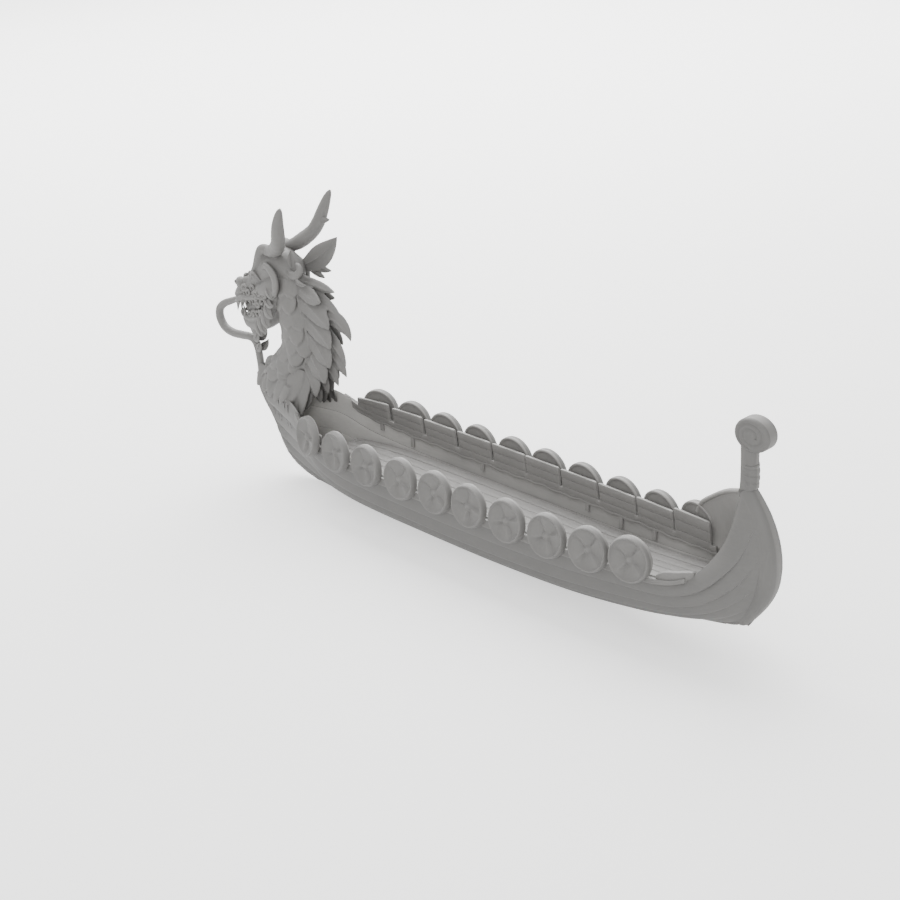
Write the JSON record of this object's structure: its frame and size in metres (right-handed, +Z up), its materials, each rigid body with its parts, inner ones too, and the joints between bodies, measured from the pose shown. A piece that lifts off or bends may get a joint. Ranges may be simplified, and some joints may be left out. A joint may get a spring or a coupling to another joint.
{
  "type": "dragon-headed longship",
  "caption": "Timber longship afloat: lapped plank hull, round shields along both rails, a horned dragon figurehead at the bow and a scroll-topped stern post.",
  "frame": {"origin": "on the centreline at the waterline, amidships, at the centre of the water's lift", "axes": "+X towards the stern, +Y to starboard, +Z up"},
  "size_m": [16.0526, 2.6154, 6.7397],
  "materials": {
    "inner_timber": "weathered grey oiled timber, matt, with fine grain",
    "carved_timber": "weathered grey oiled timber, matt, with fine grain",
    "hull_timber": "weathered grey oiled timber, matt, with fine grain",
    "post_timber": "weathered grey oiled timber, matt, with fine grain",
    "rail_timber": "weathered grey oiled timber, matt, with fine grain",
    "shield_timber": "weathered grey oiled timber, matt, with fine grain",
    "board_timber": "weathered grey oiled timber, matt, with fine grain"
  },
  "bodies": {
    "root": {"deck": "inner_timber", "ear_port": "carved_timber", "ear_starboard": "carved_timber", "foredeck": "inner_timber", "head": "carved_timber", "horn_port": "carved_timber", "horn_starboard": "carved_timber", "keel": "hull_timber", "lower_jaw": "carved_timber", "mane": "carved_timber", "neck": "carved_timber", "neck_collar": "post_timber", "outer_rail_port": "rail_timber", "outer_rail_starboard": "rail_timber", "plank_1_port": "hull_timber", "plank_1_starboard": "hull_timber", "plank_2_port": "hull_timber", "plank_2_starboard": "hull_timber", "plank_3_port": "hull_timber", "plank_3_starboard": "hull_timber", "plank_4_port": "hull_timber", "plank_4_starboard": "hull_timber", "plank_5_port": "hull_timber", "plank_5_starboard": "hull_timber", "quarter_board_starboard": "post_timber", "rib_1": "inner_timber", "rib_2": "inner_timber", "rib_3": "inner_timber", "rib_4": "inner_timber", "rib_5": "inner_timber", "rib_6": "inner_timber", "rib_7": "inner_timber", "shield_10_port": "shield_timber", "shield_10_starboard": "shield_timber", "shield_1_port": "shield_timber", "shield_1_starboard": "shield_timber", "shield_2_port": "shield_timber", "shield_2_starboard": "shield_timber", "shield_3_port": "shield_timber", "shield_3_starboard": "shield_timber", "shield_4_port": "shield_timber", "shield_4_starboard": "shield_timber", "shield_5_port": "shield_timber", "shield_5_starboard": "shield_timber", "shield_6_port": "shield_timber", "shield_6_starboard": "shield_timber", "shield_7_port": "shield_timber", "shield_7_starboard": "shield_timber", "shield_8_port": "shield_timber", "shield_8_starboard": "shield_timber", "shield_9_port": "shield_timber", "shield_9_starboard": "shield_timber", "shield_boards_port": "board_timber", "shield_boards_starboard": "board_timber", "stem": "post_timber", "stern_post": "post_timber", "stern_scroll": "post_timber", "whisker": "carved_timber"}
  },
  "joints": []
}
